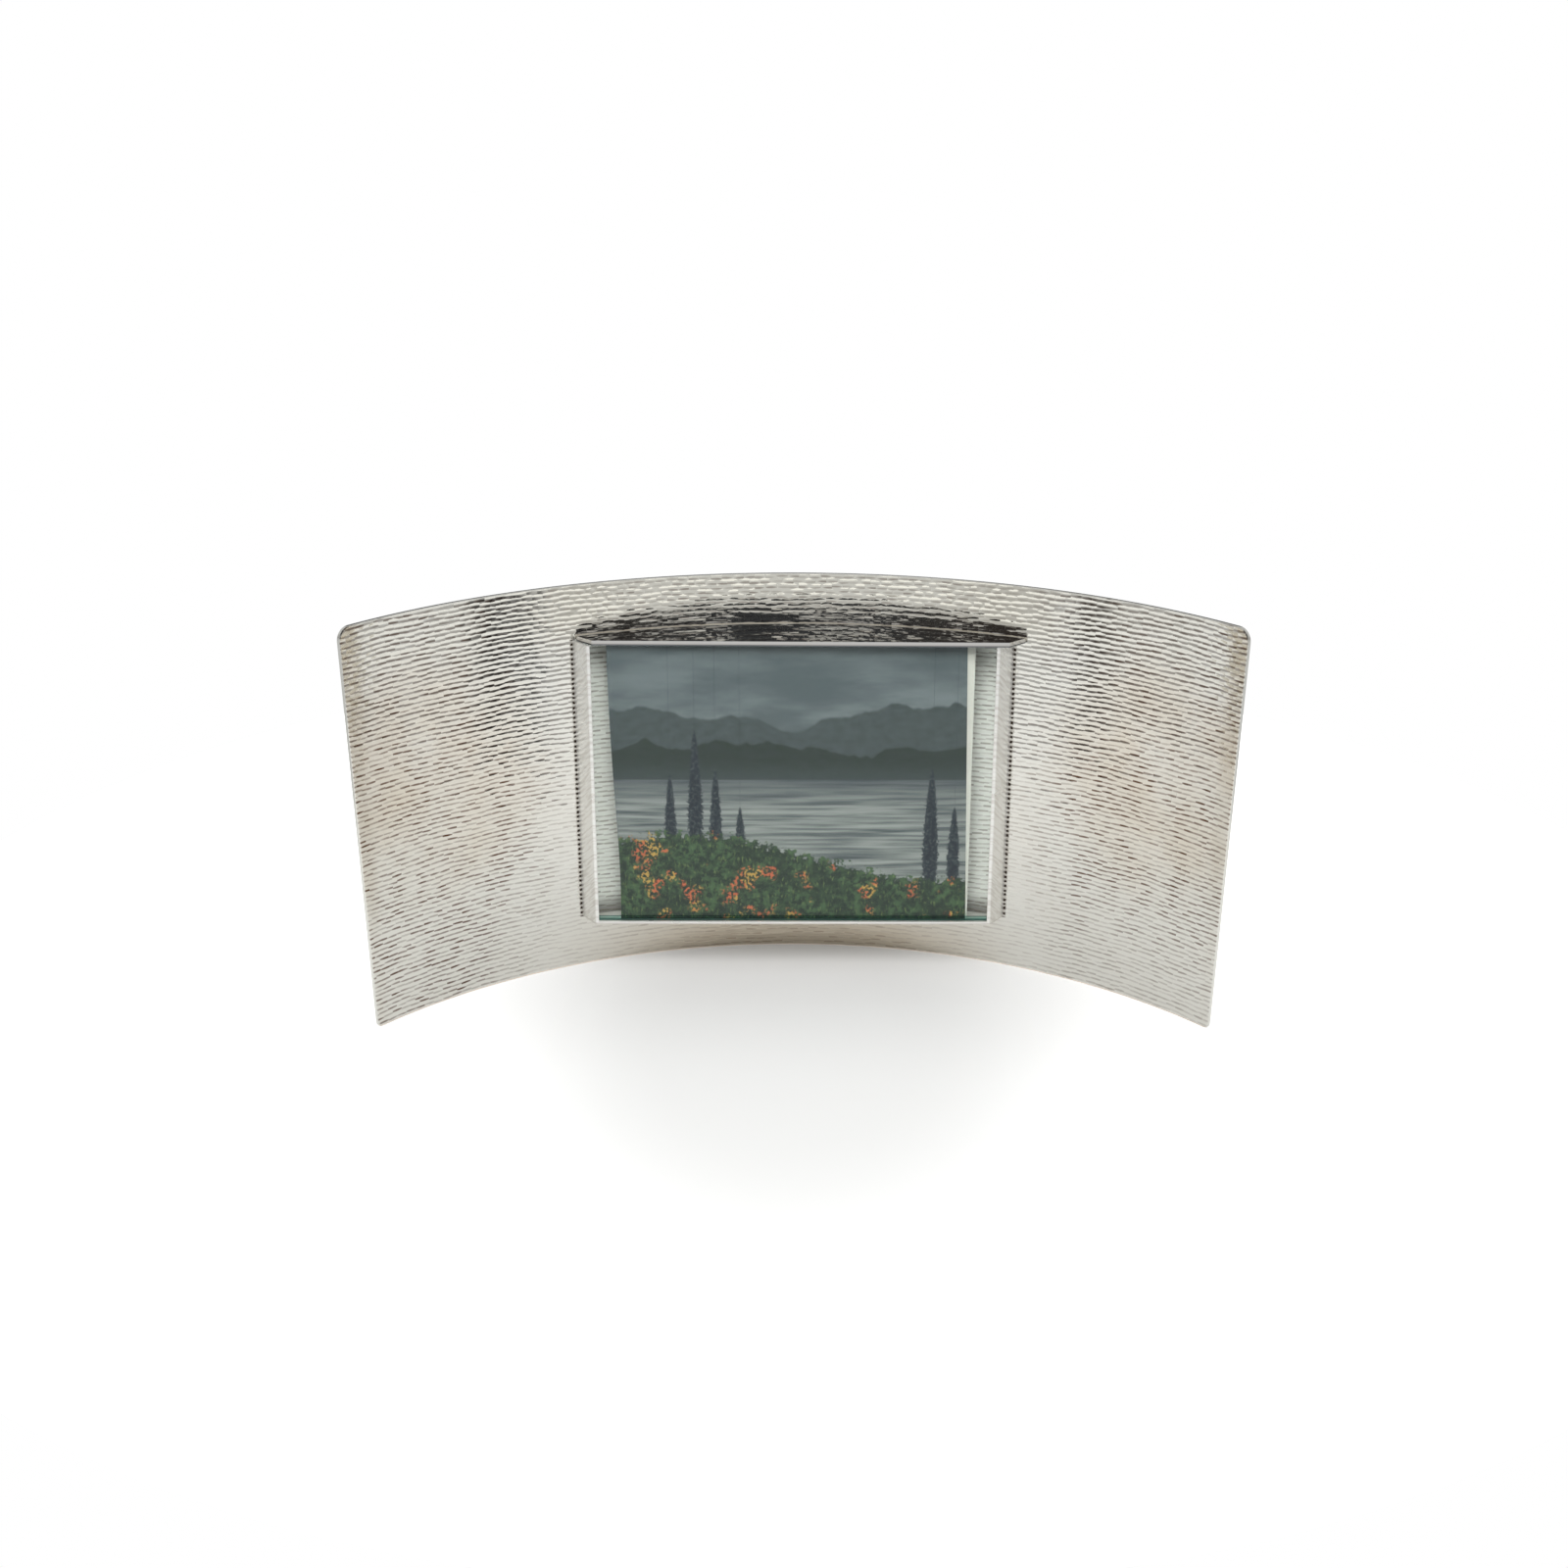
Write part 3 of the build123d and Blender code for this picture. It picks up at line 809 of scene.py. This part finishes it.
def buildLandscape():
    # a misty lake with hills, conifers and a flowering bank; Across and Up run from 0 to 1 over the print
    tree, given, result = newGroup("ShaderNodeTree", "landscape", [
        ("Across", "NodeSocketFloat", 0.0), ("Up", "NodeSocketFloat", 0.0),
    ], [("Colour", "NodeSocketColor")])
    across, up = given["Across"], given["Up"]
    look = {name: opaque(colour) for name, colour in printLook.items()}
    wide = times(tree, across, printLayout["aspect"])

    def crest(level, swing, scale, seed):
        line = noise(tree, combine(tree, wide, seed), scale, 4.0, 0.55)
        return calc(tree, "MULTIPLY_ADD", calc(tree, "SUBTRACT", line, 0.5), swing, level)

    def below(line, soft):
        return smoothRange(tree, calc(tree, "SUBTRACT", line, up), -soft, soft)

    # sky and hills
    cloud = noise(tree, combine(tree, wide, times(tree, up, 4.0)), 2.2, 4.0, 0.55)
    colour = mixColour(tree, smoothRange(tree, cloud, 0.35, 0.7), look["sky"], look["skyPale"])
    colour = mixColour(tree, smoothRange(tree, up, 0.62, 1.0, 0.0, 0.6), colour, look["sky"])
    woods = noise(tree, combine(tree, wide, times(tree, up, 1.6)), 24.0, 6.0, 0.7)
    wooded = smoothRange(tree, woods, 0.3, 0.75, 0.0, 0.5)
    slopes = mixColour(tree, wooded, look["farHill"], look["nearHill"])
    colour = mixColour(tree, below(crest(*printLayout["farCrest"]), 0.006), colour, slopes)
    slopes = mixColour(tree, smoothRange(tree, woods, 0.35, 0.7), look["nearHill"], look["meadowDark"])
    slopes = mixColour(tree, smoothRange(tree, up, 0.52, 0.60, 0.45, 0.0), slopes, look["farHill"])
    colour = mixColour(tree, below(crest(*printLayout["nearCrest"]), 0.004), colour, slopes)

    # water
    ripple = noise(tree, combine(tree, times(tree, wide, 1.5), times(tree, up, 34.0)), 1.8, 5.0)
    water = mixColour(tree, smoothRange(tree, ripple, 0.30, 0.75), look["lake"], look["lakeDark"])
    water = mixColour(tree, smoothRange(tree, up, 0.40, 0.52, 0.0, 0.75), water, look["lakeDark"])
    colour = mixColour(tree, below(printLayout["waterline"], 0.003), colour, water)

    for middle, base, height, width in printLayout["conifers"]:
        rise = calc(tree, "DIVIDE", calc(tree, "SUBTRACT", up, base), height)
        ragged = noise(tree, combine(tree, wide, up, middle), 85.0, 4.0, 0.65)
        taper = calc(tree, "MAXIMUM", calc(tree, "SUBTRACT", 1.0, rise), 0.0)
        taper = times(tree, calc(tree, "POWER", taper, 0.55), smoothRange(tree, rise, 0.0, 0.45, 0.55, 1.0))
        edge = times(tree, taper, width, calc(tree, "MULTIPLY_ADD", ragged, 1.6, 0.1))
        aside = calc(tree, "ABSOLUTE", calc(tree, "SUBTRACT", across, middle))
        mask = times(tree, smoothRange(tree, calc(tree, "SUBTRACT", edge, aside), -0.002, 0.003),
                     smoothRange(tree, rise, 0.0, 0.02))
        needles = mixColour(tree, smoothRange(tree, ragged, 0.45, 0.7), look["tree"], look["farHill"])
        colour = mixColour(tree, mask, colour, needles)

    # flowering bank
    leaves = noise(tree, combine(tree, wide, up), 38.0, 5.0, 0.65)
    clumps = noise(tree, combine(tree, wide, up, 6.1), 9.0, 3.0, 0.6)
    blades = noise(tree, combine(tree, wide, times(tree, up, 0.35)), 120.0, 3.0, 0.6)
    bank = mixColour(tree, smoothRange(tree, leaves, 0.40, 0.62), look["meadowDark"], look["meadow"])
    bank = mixColour(tree, smoothRange(tree, clumps, 0.40, 0.60, 0.75, 0.0), bank, look["meadowDark"])
    bank = mixColour(tree, smoothRange(tree, blades, 0.56, 0.70, 0.0, 0.7), bank, look["sprig"])
    cluster = smoothRange(tree, noise(tree, combine(tree, wide, up, 4.4), 11.0), 0.54, 0.62)
    flecks = smoothRange(tree, noise(tree, combine(tree, wide, up, 1.1), 80.0, 3.0), 0.48, 0.58)
    paler = smoothRange(tree, noise(tree, combine(tree, wide, up, 8.3), 16.0), 0.47, 0.55)
    petals = mixColour(tree, paler, look["bloom"], look["bloomPale"])
    bank = mixColour(tree, times(tree, cluster, flecks), bank, petals)
    shore = calc(tree, "SINE", calc(tree, "MULTIPLY_ADD", wide, 3.2, 0.7))
    shore = calc(tree, "MULTIPLY_ADD", shore, printLayout["shoreSwing"], printLayout["shoreLevel"])
    shore = calc(tree, "MULTIPLY_ADD", calc(tree, "SUBTRACT", leaves, 0.5), 0.16, shore)
    colour = mixColour(tree, below(shore, 0.006), colour, bank)
    plug(tree, mixColour(tree, printLayout["haze"], colour, look["haze"]), result["Colour"])
    return tree


def makePrint():
    material, tree, shader = newMaterial("printPaper")
    low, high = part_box("photo_print")
    place = objectPlace(tree)
    parts = split(tree, place)
    picture = addNode(tree, "ShaderNodeGroup", {"node_tree": buildLandscape()},
                      Across=linearRange(tree, parts[0], low[0], high[0]),
                      Up=linearRange(tree, parts[2], low[2], high[2])).outputs[0]
    behind = smoothRange(tree, parts[1], low[1] + 0.00002, low[1] + 0.0001)  # all but the printed face
    colour = mixColour(tree, behind, picture, opaque(printLook["back"]))
    grain = linearRange(tree, noise(tree, place, 1400.0), 0.0, 1.0, 0.04, 0.06)
    plug(tree, mixColour(tree, grain, colour, opaque(printLook["haze"])), shader.inputs["Base Color"])
    shader.inputs["Specular IOR Level"].default_value = 0.25
    cockle = noise(tree, place, 30.0, 1.0)
    plug(tree, linearRange(tree, cockle, 0.3, 0.7, 0.42, 0.5), shader.inputs["Roughness"])
    addBump(tree, shader, cockle, 1.0, 0.0001)
    return material


paint("photo_print", makePrint())
paint("backing_card", makeCard())
print("pane, print and card painted")

# Camera, fitted to the outline of the frame in the photograph
shot = {
    "position": (-0.00078, -0.82146, 0.40156),
    "pitchDown": 0.3543,
    "heading": 0.0039,
    "lens": 45.953,
    "sensor": 36,
    "clipStart": 0.01,
}


def makeCamera():
    data = bpy.data.cameras.new("photoCamera")
    data.sensor_fit = "HORIZONTAL"
    data.sensor_width = shot["sensor"]
    data.lens = shot["lens"]
    data.clip_start = shot["clipStart"]
    camera = bpy.data.objects.new("photoCamera", data)
    camera.location = shot["position"]
    camera.rotation_euler = (math.pi / 2 - shot["pitchDown"], 0, shot["heading"])
    bpy.context.scene.collection.objects.link(camera)
    bpy.context.scene.camera = camera


makeCamera()

# Studio: a white floor and a pale room, with a dark stretch in front of the frame for the metal to mirror.
# Turns are in radians from straight in front, heights are those of a direction of length 1.
studio = {
    "floorRadius": 0.44,
    "floorMiddle": 0.06,
    "floorSides": 96,
    "floorColour": (0.73, 0.73, 0.72),
    "floorRoughness": 0.6,
    "floorGlow": 0.06,  # as the metal sees it
    "shadowPool": (0.05, 0.22),  # distances over which the floor fades to white in the picture
    "shadowPoolGlow": (0.11, 0.7),
    "shadowPoolForward": 0.05,
    "shadowPoolStretch": 0.6,
    "roomColour": (0.93, 0.94, 0.95),
    "bandColour": (0.74, 0.735, 0.72),
    "bandScale": 3.6,
    "bandTurn": (0.45, 0.7),
    "bandStrength": 0.75,
    "thingColour": (0.68, 0.69, 0.71),
    "thingScale": 9.0,
    "thingStrength": 0.85,
    "darkTurn": (1.35, 1.7),
    "darkBehindTurn": (1.9, 2.3),
    "wingTurn": (0.45, 0.85),
    "darkFrom": (0.04, -0.10),  # heights between which it darkens, each in the middle and at the wings
    "darkTo": (0.11, 0.19),
    "darkTop": (0.41, 0.50),
    # posts: turn, half width from and to, height from and to, and strength
    "posts": ((0.975, 0.03, 0.17, -0.36, -0.21, 0.93), (-1.02, 0.0, 0.11, -0.255, -0.225, 0.78)),
    # tones of the dark stretch, from the left to the right
    "toneTurn": 1.7,
    "tones": (
        (0.0, (0.06, 0.06, 0.06)), (0.03, (0.20, 0.16, 0.13)), (0.14, (0.12, 0.09, 0.07)),
        (0.24, (0.05, 0.04, 0.036)), (0.36, (0.06, 0.058, 0.06)), (0.42, (0.055, 0.059, 0.068)),
        (0.58, (0.055, 0.059, 0.068)), (0.66, (0.06, 0.058, 0.06)), (0.75, (0.01, 0.010, 0.012)),
        (0.81, (0.03, 0.024, 0.022)), (0.86, (0.12, 0.09, 0.07)), (0.97, (0.20, 0.16, 0.13)),
        (1.0, (0.06, 0.06, 0.06)),
    ),
    "roomStrength": 0.62,
    # lamps: place, size and power
    "topLamp": ((0.1, 0.3, 1.4), 1.0, 5.0),
    "frontLamp": ((-0.05, -0.9, 1.15), 0.9, 13.0),
    "lampAim": (0, 0, 0.08),
}


def darkStretch(tree, turn, away, height):
    # how much of the room's dark part lies in this direction
    inFront = calc(tree, "SUBTRACT", 1.0, smoothRange(tree, away, *studio["darkTurn"]))
    behind = times(tree, calc(tree, "SUBTRACT", 1.0, inFront),
                   smoothRange(tree, away, *studio["darkBehindTurn"]))
    atWings = smoothRange(tree, away, *studio["wingTurn"])
    rising = smoothRange(tree, height, linearRange(tree, atWings, 0.0, 1.0, *studio["darkFrom"]),
                         linearRange(tree, atWings, 0.0, 1.0, *studio["darkTo"]))
    falling = smoothRange(tree, height, *studio["darkTop"], 1.0, 0.0)
    dark = times(tree, rising, falling, calc(tree, "ADD", inFront, behind))
    for middle, inner, outer, low, high, strength in studio["posts"]:
        aside = calc(tree, "ABSOLUTE", calc(tree, "SUBTRACT", turn, middle))
        post = times(tree, smoothRange(tree, aside, inner, outer, strength, 0.0),
                     smoothRange(tree, height, low, high), falling)
        dark = calc(tree, "MAXIMUM", dark, post)
    return dark


def makeWorld():
    world = bpy.data.worlds.new("studio")
    bpy.context.scene.world = world
    world.use_nodes = True
    tree = world.node_tree
    direction = addNode(tree, "ShaderNodeTexCoord").outputs["Generated"]
    parts = split(tree, direction)
    turn = calc(tree, "ARCTAN2", parts[0], times(tree, parts[1], -1.0))
    away = calc(tree, "ABSOLUTE", turn)
    dark = darkStretch(tree, turn, away, parts[2])
    toneTurn = studio["toneTurn"]
    tone = colourRamp(tree, linearRange(tree, turn, -toneTurn, toneTurn), studio["tones"])
    things = noise(tree, direction, studio["thingScale"], 3.0, 0.6)
    things = smoothRange(tree, things, 0.54, 0.60, 0.0, studio["thingStrength"])
    tone = mixColour(tree, things, tone, opaque(studio["thingColour"]))
    bands = noise(tree, combine(tree, turn, 0.0, 3.0), studio["bandScale"], 2.0, 0.6)
    bands = times(tree, smoothRange(tree, bands, 0.42, 0.58),
                  smoothRange(tree, away, *studio["bandTurn"], 0.0, studio["bandStrength"]))
    room = mixColour(tree, bands, opaque(studio["roomColour"]), opaque(studio["bandColour"]))
    colour = mixColour(tree, dark, room, tone)

    # the camera itself sees plain white
    toCamera = addNode(tree, "ShaderNodeLightPath").outputs["Is Camera Ray"]
    background = tree.nodes["Background"]
    plug(tree, mixColour(tree, toCamera, colour, (1, 1, 1, 1)), background.inputs["Color"])
    plug(tree, linearRange(tree, toCamera, 0.0, 1.0, studio["roomStrength"], 1.0),
         background.inputs["Strength"])


def makeFloor():
    data = bpy.data.meshes.new("floor")
    radius, sides = studio["floorRadius"], studio["floorSides"]
    turns = [2 * math.pi * step / sides for step in range(sides)]
    rim = [(radius * math.cos(turn), studio["floorMiddle"] + radius * math.sin(turn), 0) for turn in turns]
    data.from_pydata(rim, [], [tuple(range(sides))])
    floor = bpy.data.objects.new("floor", data)
    bpy.context.scene.collection.objects.link(floor)
    material, tree, shader = newMaterial("whiteFloor")
    shader.inputs["Base Color"].default_value = opaque(studio["floorColour"])
    shader.inputs["Roughness"].default_value = studio["floorRoughness"]
    shader.inputs["Emission Color"].default_value = (1, 1, 1, 1)

    # in the picture the floor fades to white round a pool of shadow
    parts = split(tree, objectPlace(tree))
    forward = calc(tree, "ADD", parts[1], studio["shadowPoolForward"])
    forward = times(tree, forward, studio["shadowPoolStretch"])
    away = addNode(tree, "ShaderNodeVectorMath", {"operation": "LENGTH"},
                   Vector=combine(tree, parts[0], forward)).outputs["Value"]
    glow = smoothRange(tree, away, *studio["shadowPool"], *studio["shadowPoolGlow"])
    toCamera = addNode(tree, "ShaderNodeLightPath").outputs["Is Camera Ray"]
    extra = calc(tree, "SUBTRACT", glow, studio["floorGlow"])
    plug(tree, calc(tree, "MULTIPLY_ADD", extra, toCamera, studio["floorGlow"]),
         shader.inputs["Emission Strength"])
    data.materials.append(material)


def makeLamp(name, place, size, power):
    data = bpy.data.lights.new(name, "AREA")
    data.shape = "DISK"
    data.size = size
    data.energy = power
    lamp = bpy.data.objects.new(name, data)
    lamp.location = place
    lamp.visible_glossy = False
    lamp.rotation_euler = (Vector(studio["lampAim"]) - Vector(place)).to_track_quat("-Z", "Y").to_euler()
    bpy.context.scene.collection.objects.link(lamp)


makeWorld()
makeFloor()
makeLamp("topLamp", *studio["topLamp"])
makeLamp("frontLamp", *studio["frontLamp"])
bpy.context.scene.view_settings.view_transform = "Standard"
print("studio lit")
